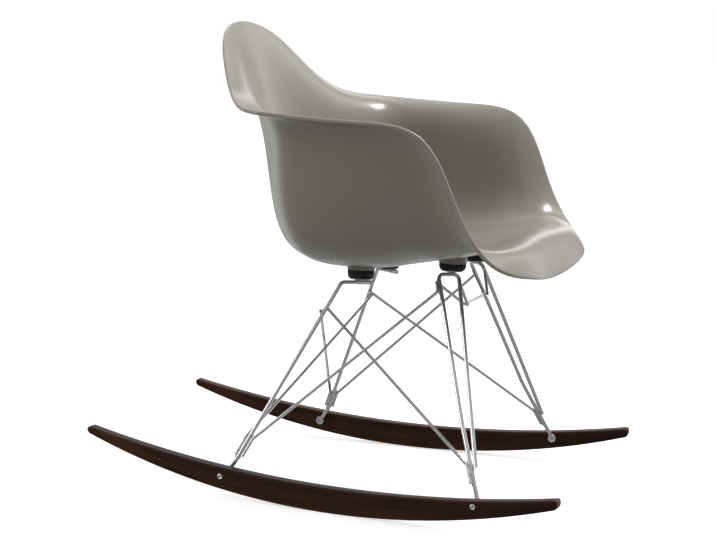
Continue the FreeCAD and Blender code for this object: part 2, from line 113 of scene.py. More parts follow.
class Finish(Tree):
    """A material for one of the chair's surfaces."""

    def __init__(self, name):
        self.material = bpy.data.materials.new(name)
        self.material.use_nodes = True
        super().__init__(self.material.node_tree)
        self.tree.nodes.clear()

    def place(self):
        """The piece's own coordinates, in metres."""
        return self.node("ShaderNodeTexCoord", out="Object")

    def own(self, attribute, out="Fac"):
        """A value that the mesh carries at each of its points."""
        return self.node("ShaderNodeAttribute", {"attribute_name": attribute}, out=out)

    def stretched(self, vector, scale):
        return self.node("ShaderNodeMapping", sockets={"Vector": vector, "Scale": scale})

    def noise(self, vector, scale, detail, rough=0.5, warp=0.0):
        return self.node("ShaderNodeTexNoise", sockets={
            "Vector": vector, "Scale": scale, "Detail": detail, "Roughness": rough, "Distortion": warp})

    def bump(self, height, depth, strength, under=None):
        sockets = {"Height": height, "Distance": depth, "Strength": strength}
        if under is not None:
            sockets["Normal"] = under
        return self.node("ShaderNodeBump", sockets=sockets)

    def surface(self, **sockets):
        """The finished material. An underscore stands for a space in a socket's name."""
        named = {name.replace("_", " "): value for name, value in sockets.items()}
        shader = self.node("ShaderNodeBsdfPrincipled", sockets=named)
        self.node("ShaderNodeOutputMaterial", sockets={"Surface": shader})
        return self.material


# Finishes

def shell_plastic():
    """Satin grey plastic with fine flecks, a painted sheen that lightens the rim, and polished by use on
    the seat.
    """
    f = Finish("satin_warm_grey_plastic")
    place = f.place()
    cloud = f.noise(place, 7, 3)
    fleck = f.noise(place, 900, 2)
    haze = f.noise(place, 42, 4, 0.6)
    rim = f.own("rim")
    polished = f.own("polished")
    tone = f.blend(cloud, (0.264, 0.243, 0.208, 1), (0.294, 0.272, 0.235, 1))
    tone = f.blend(fleck * 0.10, tone, (0.36, 0.34, 0.30, 1))
    # Painted sheen: the rim attribute lightens the colour towards the lip as a painted highlight.
    tone = f.blend(rim * 0.55, tone, (0.50, 0.475, 0.43, 1))
    grain = f.bump(f.noise(place, 1500, 3), 0.00012, 0.22)
    skin = f.bump(f.noise(place, 55, 2), 0.0009, 0.10, grain)
    rough = 0.21 + haze * 0.07 - polished * 0.03 - rim * 0.03
    return f.surface(Base_Color=tone, Roughness=rough, Normal=skin, IOR=1.49)


def drawn_chrome():
    """Bright wire with faint drawing marks and a thin film of dirt."""
    f = Finish("bright_drawn_wire")
    place = f.place()
    mark = f.noise(f.stretched(place, (900, 900, 40)), 1, 3)
    film = f.noise(place, 90, 3, 0.6)
    tone = f.blend(film, (0.66, 0.66, 0.67, 1), (0.82, 0.82, 0.82, 1))
    return f.surface(Base_Color=tone, Metallic=1.0, Roughness=0.09 + film * 0.12,
                     Normal=f.bump(mark, 0.00005, 0.25))


def weld_metal():
    """Plated weld, rippled and less bright than the wire."""
    f = Finish("plated_weld")
    place = f.place()
    ripple = f.noise(place, 1300, 2)
    return f.surface(Base_Color=f.blend(ripple, (0.50, 0.50, 0.51, 1), (0.68, 0.68, 0.68, 1)),
                     Metallic=1.0, Roughness=0.22 + ripple * 0.15, Normal=f.bump(ripple, 0.0003, 0.6))


def stained_wood():
    """Dark stained wood with its figure, streaks and pores along the bend, and wear at its edges."""
    f = Finish("dark_stained_maple")
    grain = f.own("grain", "Vector")
    worn = f.own("worn")
    figure = f.noise(f.stretched(grain, (5, 75, 55)), 1, 5, 0.62, 0.7)
    streak = f.noise(f.stretched(grain, (9, 420, 300)), 1, 4, 0.6)
    pore = f.noise(f.stretched(grain, (55, 1500, 1300)), 1, 2)
    cloud = f.noise(grain, 9, 3)
    pores = f.ramp(pore, (0.60, 0), (0.70, 1))
    tone = f.ramp(figure, (0.32, (0.012, 0.0036, 0.0013)), (0.46, (0.027, 0.0082, 0.0026)),
                  (0.56, (0.044, 0.0140, 0.0046)), (0.68, (0.088, 0.0310, 0.0110)))
    tone = f.blend(f.ramp(streak, (0.42, 0), (0.62, 1)) * 0.45, tone, (0.066, 0.0220, 0.0078, 1))
    tone = f.blend(cloud * 0.30, tone, (0.020, 0.0064, 0.0022, 1))
    tone = f.blend(pores * 0.7, tone, (0.006, 0.0022, 0.0010, 1))
    tone = f.blend(worn * 0.40, tone, (0.150, 0.070, 0.034, 1))
    height = streak * 0.6 - pores * 0.5
    rough = 0.38 + streak * 0.12 + pores * 0.15 + worn * 0.15
    return f.surface(Base_Color=tone, Roughness=rough, Normal=f.bump(height, 0.00012, 0.5),
                     Specular_IOR_Level=0.22)


def mount_rubber():
    """Black rubber with a little dust."""
    f = Finish("black_rubber")
    place = f.place()
    dust = f.noise(place, 160, 3)
    tone = f.blend(dust, (0.008, 0.008, 0.008, 1), (0.019, 0.019, 0.018, 1))
    return f.surface(Base_Color=tone, Roughness=0.52 + dust * 0.25,
                     Normal=f.bump(f.noise(place, 1700, 2), 0.0001, 0.5))


def brushed_metal(name, dark, light, rough):
    """Brushed metal with faint stains, between a dark and a light tone."""
    f = Finish(name)
    place = f.place()
    brush = f.noise(f.stretched(place, (1400, 60, 1400)), 1, 3)
    stain = f.noise(place, 120, 3)
    tone = f.blend(brush * 0.5 + stain * 0.5, (*dark, 1), (*light, 1))
    return f.surface(Base_Color=tone, Metallic=1.0, Roughness=rough + brush * 0.15,
                     Normal=f.bump(brush, 0.00006, 0.4))


PLASTIC = shell_plastic()
CHROME = drawn_chrome()
WELD = weld_metal()
WOOD = stained_wood()
RUBBER = mount_rubber()
STEEL = brushed_metal("brushed_plate_steel", (0.42, 0.42, 0.43), (0.60, 0.60, 0.60), 0.26)
ZINC = brushed_metal("bright_zinc_screws", (0.60, 0.60, 0.60), (0.78, 0.78, 0.77), 0.18)
BRASS = brushed_metal("brass_inserts", (0.55, 0.41, 0.19), (0.68, 0.53, 0.27), 0.25)


# Meshes

def make_mesh(name, points, faces, crease=None):
    """Smooth mesh from millimetre points, with sharp edges where it turns by more than crease degrees."""
    mesh = bpy.data.meshes.new(name)
    mesh.from_pydata([tuple(c * MM for c in p) for p in points], [], faces)
    mesh.validate()
    mesh.shade_smooth()
    if crease is not None:
        mesh.set_sharp_from_angle(angle=math.radians(crease))
    return mesh


def turn_outwards(mesh):
    """Point every face of a closed mesh outwards."""
    shape = bmesh.new()
    shape.from_mesh(mesh)
    bmesh.ops.recalc_face_normals(shape, faces=shape.faces)
    shape.to_mesh(mesh)
    shape.free()


def bands(rings, sides):
    """Faces between rings of points that follow each other."""
    faces = []
    for r in range(rings - 1):
        for i in range(sides):
            j = (i + 1) % sides
            faces.append((r * sides + i, r * sides + j, (r + 1) * sides + j, (r + 1) * sides + i))
    return faces


def in_scene(name, data):
    """New object of the scene with this data."""
    made = bpy.data.objects.new(name, data)
    bpy.context.scene.collection.objects.link(made)
    return made


def add_piece(name, mesh, material, slot, *stands_for):
    """Show a finished mesh as a piece of the chair, in place of the solids named last."""
    mesh.name = name
    mesh.materials.clear()
    mesh.materials.append(material)
    piece = in_scene(name, mesh)
    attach(piece, "root")
    if stands_for:
        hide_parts(*stands_for)


def evaluated_mesh(maker):
    """Plain mesh of an object with its modifiers, after which the object goes."""
    bpy.context.view_layer.update()
    graph = bpy.context.evaluated_depsgraph_get()
    mesh = bpy.data.meshes.new_from_object(maker.evaluated_get(graph), depsgraph=graph)
    bpy.data.objects.remove(maker)
    return mesh


def turned_mesh(name, profile, sides=48, crease=30):
    """Closed solid of rings about the local Z axis. A ring is (radius, height) or, for a hexagon
    socket, (radius, height, 6); a ring of radius 0 closes the end."""
    points, faces, rings = [], [], []
    for radius, height, *corners in profile:
        if radius == 0:
            rings.append([len(points)])
            points.append((0, 0, height))
            continue
        ring = []
        for i in range(sides):
            angle = 2 * math.pi * i / sides
            reach = radius
            if corners:
                step = math.pi / corners[0]
                reach = radius / math.cos((angle + step) % (2 * step) - step)
            ring.append(len(points))
            points.append((reach * math.cos(angle), reach * math.sin(angle), height))
        rings.append(ring)
    pairs = list(zip(rings, rings[1:]))
    if len(rings[0]) > 1:
        pairs.append((rings[-1], rings[0]))
    for a, b in pairs:
        for i in range(sides):
            j = (i + 1) % sides
            if len(a) == 1:
                faces.append((a[0], b[j], b[i]))
            elif len(b) == 1:
                faces.append((a[i], a[j], b[0]))
            else:
                faces.append((a[i], a[j], b[j], b[i]))
    mesh = make_mesh(name, points, faces)
    turn_outwards(mesh)
    mesh.set_sharp_from_angle(angle=math.radians(crease))
    return mesh


# Geometry node makers

class Maker(Tree):
    """A geometry node tree with named inputs."""

    def __init__(self, name, **inputs):
        super().__init__(bpy.data.node_groups.new(name, "GeometryNodeTree"))
        ports = self.tree.interface
        ports.new_socket("Geometry", in_out="INPUT", socket_type="NodeSocketGeometry")
        ports.new_socket("Geometry", in_out="OUTPUT", socket_type="NodeSocketGeometry")
        self.ports = {}
        for label, kind in inputs.items():
            self.ports[label] = ports.new_socket(label, in_out="INPUT", socket_type="NodeSocket" + kind)
        self.source = self.tree.nodes.new("NodeGroupInput")

    def given(self, label="Geometry"):
        return Output(self, self.source.outputs[label])

    def ends_with(self, geometry, material):
        real = self.node("GeometryNodeRealizeInstances", sockets={"Geometry": geometry})
        done = self.node("GeometryNodeSetMaterial", sockets={"Geometry": real, "Material": material})
        end = self.tree.nodes.new("NodeGroupOutput")
        self.tree.links.new(done.socket, end.inputs[0])

    def run(self, data, **values):
        """Plain mesh that the tree makes of a curve or of a mesh of points."""
        holder = in_scene("maker", data)
        modifier = holder.modifiers.new("maker", "NODES")
        modifier.node_group = self.tree
        for label, value in values.items():
            modifier[self.ports[label].identifier] = value
        return evaluated_mesh(holder)


def wire_maker():
    """Round rod along a line of corners, each rounded to the bend's radius."""
    m = Maker("bent_rod", Thickness="Float", Bend="Float", Steps="Int", Sides="Int", Finish="Material")
    bends = m.node("GeometryNodeFilletCurve", {"mode": "POLY"}, {
        "Curve": m.given(), "Radius": m.given("Bend"), "Limit Radius": True, "Count": m.given("Steps")})
    ring = m.node("GeometryNodeCurvePrimitiveCircle", sockets={
        "Resolution": m.given("Sides"), "Radius": m.given("Thickness") * 0.5})
    rod = m.node("GeometryNodeCurveToMesh", sockets={
        "Curve": bends, "Profile Curve": ring, "Fill Caps": True})
    rod = m.node("GeometryNodeSetShadeSmooth", sockets={"Geometry": rod})
    m.ends_with(rod, m.given("Finish"))
    return m


def repeat_maker():
    """The same small piece at every point, turned and stretched as the points say."""
    m = Maker("set_out", Piece="Object", Finish="Material")
    piece = m.node("GeometryNodeObjectInfo", sockets={"Object": m.given("Piece")}, out="Geometry")
    turn = m.node("GeometryNodeInputNamedAttribute", {"data_type": "FLOAT_VECTOR"}, {"Name": "turn"})
    stretch = m.node("GeometryNodeInputNamedAttribute", {"data_type": "FLOAT_VECTOR"}, {"Name": "stretch"})
    lean = m.node("FunctionNodeEulerToRotation", sockets={"Euler": turn})
    out = m.node("GeometryNodeInstanceOnPoints", sockets={
        "Points": m.given(), "Instance": piece, "Rotation": lean, "Scale": stretch})
    m.ends_with(out, m.given("Finish"))
    return m


BENT_ROD = wire_maker()
SET_OUT = repeat_maker()


def set_out(mesh, places, material):
    """One mesh of a small piece repeated at places, which are matrices in millimetres."""
    points = bpy.data.meshes.new("places")
    points.from_pydata([m.to_translation() * MM for m in places], [], [])
    for label, read in (("turn", Matrix.to_euler), ("stretch", Matrix.to_scale)):
        data = points.attributes.new(label, "FLOAT_VECTOR", "POINT").data
        for item, place in zip(data, places):
            item.vector = read(place)
    source = in_scene("source", mesh)
    made = SET_OUT.run(points, Piece=source, Finish=material)
    bpy.data.objects.remove(source)
    return made


def facing(base, direction, across=None):
    """Matrix of a piece that stands on base with its own Z along direction and its X nearest across."""
    z = Vector(direction).normalized()
    x = Vector(across or ((1, 0, 0) if abs(z.x) < 0.9 else (0, 1, 0)))
    x = (x - z * x.dot(z)).normalized()
    turn = Matrix((x, z.cross(x), z)).transposed().to_4x4()
    return Matrix.Translation(base) @ turn


# The moulded shell, whose rim and sections are those of the part's source. Heights are above the
# seat's centre. A section pairs, for one rim place, shares of the way out to it with heights.

SEAT_CENTRE = (0, -10, 314)
RIM = [(0, -275, 8), (92, -276, 11), (180, -275, 21), (262, -239, 33), (270, -191, 98),
       (283, -152, 225), (297, -50, 218), (289, 60, 221), (290, 103, 222), (207, 154, 229),
       (118, 209, 321), (0, 227, 340)]
SECTIONS = {
    0: [(0.28, 8), (0.50, 30), (0.70, 50), (0.87, 72), (0.99, 50)],
    3: [(0.23, 9.5), (0.47, 30), (0.68, 41), (0.85, 56), (0.94, 57)],
    6: [(0.25, 1), (0.50, 13), (0.75, 40), (0.87, 126), (0.89, 220)],
    9: [(0.26, 0), (0.47, 9), (0.64, 45), (0.72, 127), (0.73, 233)],
    11: [(0.30, 0), (0.49, 6), (0.60, 34), (0.66, 126), (0.82, 247)],
}
WALL = 5

# Steps of the skins, then the levels at which the rim swells, the seat is eased and use has polished it

STEPS_ROUND, STEPS_OUT, LIP_STEPS = 14, 60, 10
RIM_SWELL, SWELL_REACH = 0.8, 0.16
SEAT_EASED, SEAT_RISE, DISH_DEGREE, DISH_SPAN = 1.5, 1.2, 4, 100
POLISHED_AT, POLISHED_REACH = 0.4, 1.1
# Rows from the lip over which the painted sheen on the rim fades, then rows of the underside below the
# seat
RIM_PAINTED_SHEEN_ROWS, ROWS_BELOW_SEAT = 4.5, 45


def section_at(column):
    """The section of one rim place, blended from the two nearest drawn sections."""
    drawn = sorted(SECTIONS)
    for first, last in zip(drawn, drawn[1:]):
        if first <= column <= last:
            t = (column - first) / (last - first)
            t = t * t * (3 - 2 * t)
            return [tuple(a + (b - a) * t for a, b in zip(p, q))
                    for p, q in zip(SECTIONS[first], SECTIONS[last])]


def shell_net():
    """Control points of the shell's middle surface: columns round the rim, rings outwards."""
    centre = np.array(SEAT_CENTRE, float)
    half = []
    for column, rim in enumerate(np.array(RIM, float) + (0, 0, centre[2])):
        poles = [centre]
        for share, height in section_at(column):
            pole = centre + (rim - centre) * share
            pole[2] = centre[2] + height
            poles.append(pole)
        half.append(poles + [rim])
    half = np.array(half)
    return np.concatenate([half, half[-2:0:-1] * (-1, 1, 1)])


def offset_net(net, distance):
    """The net moved along its own normals."""
    around = np.roll(net, -1, 0) - np.roll(net, 1, 0)
    outwards = np.empty_like(net)
    outwards[:, 1:-1] = net[:, 2:] - net[:, :-2]
    outwards[:, -1] = net[:, -1] - net[:, -2]
    normal = np.cross(outwards[:, 1:], around[:, 1:])
    moved = net.copy()
    moved[:, 0, 2] += distance
    moved[:, 1:] += normal / np.linalg.norm(normal, axis=2, keepdims=True) * distance
    return moved


def ring_weights(rings, levels):
    """Cubic basis of a line of poles that starts and ends at its end poles."""
    spans = rings - 3
    knots = [0] * 3 + list(range(spans + 1)) + [spans] * 3
    table = np.zeros((len(levels), rings))
    for row, t in enumerate(levels):
        t = min(t, spans - 1e-9)
        values = [float(a <= t < b) for a, b in zip(knots, knots[1:])]
        for degree in (1, 2, 3):
            rise = [(t - a) / (b - a) if b > a else 0 for a, b in zip(knots, knots[degree:])]
            values = [values[i] * rise[i] + values[i + 1] * (1 - rise[i + 1])
                      for i in range(len(values) - 1)]
        table[row] = values
    return table


def column_weights(columns, steps):
    """Cubic basis of a closed ring of poles, with the same steps between all poles."""
    table = np.zeros((columns * steps, columns))
    for row in range(columns * steps):
        pole, t = divmod(row, steps)
        t /= steps
        parts = ((1 - t) ** 3, 3 * t ** 3 - 6 * t * t + 4, 1 + 3 * t * (1 + t - t * t), t ** 3)
        for shift, part in enumerate(parts):
            table[row, (pole + shift - 1) % columns] += part / 6
    return table


NET = shell_net()
AROUND = column_weights(len(NET), STEPS_ROUND)
LEVELS = np.linspace(0, NET.shape[1] - 3, STEPS_OUT + 1)
OUTWARDS = ring_weights(NET.shape[1], LEVELS)


def sampled(net):
    """Points of the net's surface: columns round the rim, levels outwards."""
    return np.einsum("ac,lr,crk->alk", AROUND, OUTWARDS, net)


def eased_seat(skin):
    """Skin with the slight pinch at the seat's centre ironed out, by one dish fitted to its heights."""
    inner = LEVELS < SEAT_EASED
    x, y, z = np.moveaxis(skin[:, inner], 2, 0) / DISH_SPAN
    powers = range(DISH_DEGREE + 1)
    dish = np.stack([x ** i * y ** j for i in powers for j in powers if i + j <= DISH_DEGREE], -1)
    best = np.linalg.lstsq(dish.reshape(-1, dish.shape[-1]), z.ravel(), rcond=None)[0]
    share = LEVELS[inner] / SEAT_EASED
    share = share ** 3 * (10 - 15 * share + 6 * share ** 2)
    eased = skin.copy()
    eased[:, inner, 2] = DISH_SPAN * z * share + (DISH_SPAN * dish @ best + SEAT_RISE) * (1 - share)
    return eased


UPPER = eased_seat(sampled(offset_net(NET, WALL / 2)))
LOWER = eased_seat(sampled(offset_net(NET, -WALL / 2)))


def shell_mesh():
    """Both skins of the shell and the rolled lip between them."""
    columns, levels = UPPER.shape[:2]
    swell = RIM_SWELL * np.exp(-((LEVELS[-1] - LEVELS) / SWELL_REACH) ** 2)[None, :, None]
    inside = UPPER + (UPPER - LOWER) / WALL * swell
    outside = LOWER.copy()
    outwards = UPPER[:, -1] - UPPER[:, -2] + LOWER[:, -1] - LOWER[:, -2]
    outwards *= WALL / 2 / np.linalg.norm(outwards, axis=1, keepdims=True)
    inside[:, -1] -= outwards
    outside[:, -1] -= outwards
    top, bottom = inside[:, -1], outside[:, -1]
    middle = (top + bottom) / 2
    lip = []
    for step in range(1, LIP_STEPS):
        angle = math.pi * step / LIP_STEPS
        lip.append(middle + (top - middle) * math.cos(angle) + outwards * math.sin(angle))
    rows = [inside[:, i] for i in range(1, levels)] + lip
    rows += [outside[:, i] for i in range(levels - 1, 0, -1)]
    points = [UPPER[0, 0]] + [p for row in rows for p in row] + [LOWER[0, 0]]
    last = len(points) - 1
    faces = []
    for r in range(len(rows) - 1):
        for c in range(columns):
            d = (c + 1) % columns
            a, b = 1 + r * columns, 1 + (r + 1) * columns
            faces.append((a + c, b + c, b + d, a + d))
    end = 1 + (len(rows) - 1) * columns
    for c in range(columns):
        d = (c + 1) % columns
        faces.append((0, 1 + c, 1 + d))
        faces.append((last, end + d, end + c))
    mesh = make_mesh("shell", points, faces)
    lip_row = levels - 2 + LIP_STEPS // 2
    # The rim attribute is a painted sheen on the rim. It is a painted highlight, strongest at the lip,
    # that lightens the plastic's colour and lowers its roughness a little.
    near = [math.exp(-((r - lip_row) / RIM_PAINTED_SHEEN_ROWS) ** 2) for r in range(len(rows))]
    rubbed = [math.exp(-((level - POLISHED_AT) / POLISHED_REACH) ** 2) for level in LEVELS[1:]]
    rubbed += [0.0] * (len(rows) - len(rubbed))
    for label, centre, values in (("rim", 0.0, near), ("polished", 1.0, rubbed)):
        spread = [centre] + [value for value in values for c in range(columns)] + [0.0]
        mesh.attributes.new(label, "FLOAT", "POINT").data.foreach_set("value", spread)
    turn_outwards(mesh)
    return mesh


def underside(x, y):
    """Height of the shell's underside at a place, from the four nearest samples below the seat."""
    near = LOWER[:, :ROWS_BELOW_SEAT].reshape(-1, 3)
    away = np.hypot(near[:, 0] - x, near[:, 1] - y)
    best = np.argsort(away)[:4]
    share = 1 / (away[best] + 0.3)
    return float((near[best, 2] * share).sum() / share.sum())


add_piece("moulded_shell", shell_mesh(), PLASTIC, "shell", "seat_shell")


# Bosses and gate mark below the shell, placed by the solids of the rubber mounts

PAD_RADIUS, PLATE_HIGH, SCREW_REACH = 19, 2.5, 3.5
BOSS_SIDES = 48
GATE_PLACE = -42


def mount_places(end):
    """Middle of the lower face of each rubber mount of a pair."""
    low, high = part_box("mount_pads_" + end)
    across = (high.x - low.x) / 2 / MM - PAD_RADIUS
    along = (low.y + high.y) / 2 / MM
    return [Vector((side * across, along, low.z / MM)) for side in SIDES.values()]


def pad_height(end):
    """Height of the rubber mounts of a pair."""
    low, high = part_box("mount_pads_" + end)
    return (high.z - low.z) / MM


MOUNTS = {end: mount_places(end) for end in ("rear", "front")}
PAD_HIGH = {end: pad_height(end) for end in MOUNTS}
BELOW_PADS = {end: [p - UP * PLATE_HIGH for p in MOUNTS[end]] for end in MOUNTS}


def boss_points(place, face):
    """Rings of a moulded boss: its face, its wall, and the flare that follows the shell's underside."""
    points = []
    for radius, rise, follows in (
            (4.6, 0, False), (19.2, 0, False), (19.8, 0.25, False), (20, 0.8, False),
            (20.1, -0.9, True), (20.8, -0.1, True), (22.4, 0.45, True), (25, 1.4, True)):
        for i in range(BOSS_SIDES):
            angle = 2 * math.pi * i / BOSS_SIDES
            x, y = place.x + radius * math.cos(angle), place.y + radius * math.sin(angle)
            points.append((x, y, max(underside(x, y) + rise, face + 0.9) if follows else face + rise))
    return points


def boss_mesh():
    """The four bosses below the shell as one mesh."""
    points, faces = [], []
    for end in MOUNTS:
        for place in MOUNTS[end]:
            start = len(points)
            points += boss_points(place, place.z + PAD_HIGH[end])
            rings = (len(points) - start) // BOSS_SIDES
            faces += [tuple(start + i for i in face) for face in bands(rings, BOSS_SIDES)]
    return make_mesh("bosses", points, faces, crease=50)


add_piece("mount_bosses", boss_mesh(), PLASTIC, "shell")

gate = turned_mesh("gate", [(0, 0), (5.2, 0), (5.6, -0.35), (6.6, -0.35), (7, 0.2), (7, 1.5), (0, 1.5)])
gate_place = Vector((0, GATE_PLACE, underside(0, GATE_PLACE) - 0.1))
add_piece("moulding_gate", set_out(gate, [facing(gate_place, UP)], PLASTIC), PLASTIC, "shell")


# Rubber mounts, plates and screws

def pad_profile(high):
    """Rubber mount with a waist near its plate and a thin parting line round its middle."""
    line, proud = high * 0.62, PAD_RADIUS + 0.25
    return [(3.4, 0.3), (3.9, 0), (17, 0), (17.8, 0.4), (18.1, 1.1),
            (18.1, high * 0.22), (18.5, high * 0.3), (PAD_RADIUS, high * 0.38),
            (PAD_RADIUS, line - 0.35), (proud, line - 0.1), (proud, line + 0.1), (PAD_RADIUS, line + 0.35),
            (PAD_RADIUS, high - 0.9), (18.6, high - 0.2), (18, high), (3.9, high), (3.4, high - 0.3)]


for end in MOUNTS:
    pad = turned_mesh("pad", pad_profile(PAD_HIGH[end]), sides=64, crease=40)
    places = [facing(p, UP) for p in MOUNTS[end]]
    add_piece("rubber_mounts_" + end, set_out(pad, places, RUBBER), RUBBER, "pad", "mount_pads_" + end)

plate = turned_mesh("plate", [
    (3.3, 0), (6.2, 0), (6.6, 0.25), (14.6, 0.25), (15.4, 0.45), (15.9, 0.9), (16, 1.5),
    (15.9, PLATE_HIGH - 0.3), (15.6, PLATE_HIGH - 0.02), (3.3, PLATE_HIGH - 0.02)], sides=64)
places = [facing(p, UP) for end in MOUNTS for p in BELOW_PADS[end]]
add_piece("mount_plates", set_out(plate, places, STEEL), STEEL, "plate",
          "mount_plates_rear", "mount_plates_front")

for end in MOUNTS:
    tip = PLATE_HIGH + PAD_HIGH[end] + SCREW_REACH
    screw = turned_mesh("screw", [
        (0, -1.1), (1.9, -1.1, 6), (1.9, -2.9, 6), (2.7, -3.15), (3.6, -3.05), (4.5, -2.5), (4.95, -1.6),
        (5, -0.4), (4.8, -0.05), (3, 0), (3, tip - 0.4), (2.6, tip), (0, tip)])
    heads = [facing(p, UP) for p in BELOW_PADS[end]]
    add_piece("mount_screws_" + end + "_dressed", set_out(screw, heads, ZINC), ZINC, "bolt",
              "mount_screws_" + end)

for end in MOUNTS:
    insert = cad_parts["thread_inserts_" + end]
    insert.data.materials.clear()
    insert.data.materials.append(BRASS)


# Wooden rockers

ROCKER_LENGTH, ROCKER_THICK, ROCKER_DEPTH = 690, 20.5, 34.5
ROCKER_SPACING, ROCKER_TOE = 474, 4
ROCKER_RADIUS, ROCKER_LOW, TOP_LOW = 1074, -22, -29
TIP_HIGH, TIP_ROUND, TIP_STEPS, EDGE_ROUND, EDGE_STEPS = 9.8, 4.5, 6, 3.0, 5
ROCKER_STEPS, TIP_TAPER = 117, 0.35
FLOOR_FADE, FLOOR_REACH = 1.6, 190
EDGE_WEAR, EDGE_FADE, TIP_WEAR, TIP_REACH = 0.35, 1.3, 0.5, 1.5
BOLTS = {"rear": 136, "front": -230.5}
BOLT_RISE, BOLT_RECESS, BOLT_LONG, BUSH_LONG = 17.5, 2, 26.5, 9


def arc_height(y, radius, low, lift):
    """Height of an arc that is lowest at the place low, by lift."""
    return lift + radius - math.sqrt(radius * radius - (y - low) ** 2)


def rocker_bottom(y):
    """Height of the rocker's lower arc, which rolls on the floor."""
    return arc_height(y, ROCKER_RADIUS, ROCKER_LOW, 0)


TIP_RISE = rocker_bottom(ROCKER_LENGTH / 2) + TIP_HIGH - ROCKER_DEPTH
TOP_RADIUS = ((ROCKER_LENGTH / 2 - TOP_LOW) ** 2 + TIP_RISE ** 2) / (2 * TIP_RISE)


def rocker_top(y):
    """Height of the rocker's upper arc, which draws in towards the tips."""
    return arc_height(y, TOP_RADIUS, TOP_LOW, ROCKER_DEPTH)


def side_frame(side):
    """Matrix of a side's rocker: its place across the chair and its toe-in."""
    out = SIDES[side] * (ROCKER_SPACING - ROCKER_THICK) / 2
    toe = math.radians(SIDES[side] * ROCKER_TOE)
    return Matrix.Translation((out, 0, 0)) @ Matrix.Rotation(toe, 4, "Z")


def rocker_stations():
    """Places along the rocker: even along its length and close together round its tips."""
    half = ROCKER_LENGTH / 2
    tip = [TIP_ROUND * (1 - math.cos(math.pi / 2 * i / TIP_STEPS)) for i in range(TIP_STEPS + 1)]
    inner = np.linspace(-half + TIP_ROUND, half - TIP_ROUND, ROCKER_STEPS + 1)[1:-1]
    return [-half + d for d in tip] + list(inner) + [half - d for d in tip[::-1]]


def rocker_mesh(side):
    """One bent rocker with rounded edges and tips, its grain's own places and where it is worn."""
    half = ROCKER_LENGTH / 2
    place = side_frame(side)
    points, grain, worn = [], [], []
    for y in rocker_stations():
        d = min(half - abs(y), TIP_ROUND)
        draw_in = TIP_ROUND - math.sqrt(max(TIP_ROUND ** 2 - (TIP_ROUND - d) ** 2, 0))
        low, high = rocker_bottom(y) + draw_in, rocker_top(y) - draw_in
        wide = ROCKER_THICK / 2 - draw_in * TIP_TAPER
        round_off = min(EDGE_ROUND, (high - low) / 2 - 0.2)
        ring = []
        for corner_x, corner_z, start in ((1, -1, -90), (1, 1, 0), (-1, 1, 90), (-1, -1, 180)):
            centre_x = corner_x * (wide - round_off)
            centre_z = high - round_off if corner_z > 0 else low + round_off
            for step in range(EDGE_STEPS + 1):
                angle = math.radians(start + 90 / EDGE_STEPS * step)
                ring.append((centre_x + round_off * math.cos(angle),
                             centre_z + round_off * math.sin(angle)))
        arc = ROCKER_RADIUS * math.asin((y - ROCKER_LOW) / ROCKER_RADIUS)
        for x, z in ring:
            points.append(place @ Vector((x, y, z)))
            grain.append((arc * MM, x * MM, (z - rocker_bottom(y)) * MM))
            on_floor = math.exp(-max(z - low, 0) / FLOOR_FADE - ((y - ROCKER_LOW) / FLOOR_REACH) ** 2)
            on_edge = math.exp(-(abs(abs(x) - wide) + min(z - low, high - z)) / EDGE_FADE) * EDGE_WEAR
            worn.append(min(1.0, on_floor + on_edge + (TIP_WEAR if d < TIP_REACH else 0)))
    sides = len(ring)
    faces = [tuple(range(sides))[::-1], tuple(range(len(points) - sides, len(points)))]
    mesh = make_mesh("rocker", points, faces + bands(len(points) // sides, sides))
    turn_outwards(mesh)
    for item, value in zip(mesh.attributes.new("grain", "FLOAT_VECTOR", "POINT").data, grain):
        item.vector = value
    mesh.attributes.new("worn", "FLOAT", "POINT").data.foreach_set("value", worn)
    mesh.materials.append(WOOD)
    return mesh


def bolt_axis(side, end):
    """Point on the rocker's outer face at a bolt, and the direction from there inwards."""
    place = side_frame(side)
    y = BOLTS[end]
    start = place @ Vector((SIDES[side] * ROCKER_THICK / 2, y, rocker_bottom(y) + BOLT_RISE))
    inwards = place.to_3x3() @ Vector((-SIDES[side], 0, 0))
    return start, inwards


def drilled_rocker(side):
    """The rocker with its countersunk bolt holes cut."""
    holder = in_scene("rocker_blank", rocker_mesh(side))
    drill = turned_mesh("drill", [(0, -3), (5.2, -3), (4.7, 0.4), (4.6, BOLT_RECESS), (3.1, BOLT_RECESS),
                                  (3.1, 24), (0, 24)], sides=32)
    drill.materials.append(WOOD)
    cutters = []
    for end in BOLTS:
        start, inwards = bolt_axis(side, end)
        cutter = in_scene("drill_" + end, drill.copy())
        cutter.data.transform(Matrix.Diagonal((MM, MM, MM, 1)) @ facing(start, inwards)
                              @ Matrix.Diagonal((1 / MM, 1 / MM, 1 / MM, 1)))
        cut = holder.modifiers.new("hole", "BOOLEAN")
        cut.operation, cut.solver, cut.object = "DIFFERENCE", "EXACT", cutter
        cutters.append(cutter)
    mesh = evaluated_mesh(holder)
    for cutter in cutters:
        bpy.data.objects.remove(cutter)
    mesh.set_sharp_from_angle(angle=math.radians(32))
    return mesh


for side in SIDES:
    add_piece("rocker_wood_" + side, drilled_rocker(side), WOOD, "rocker", "rocker_" + side)

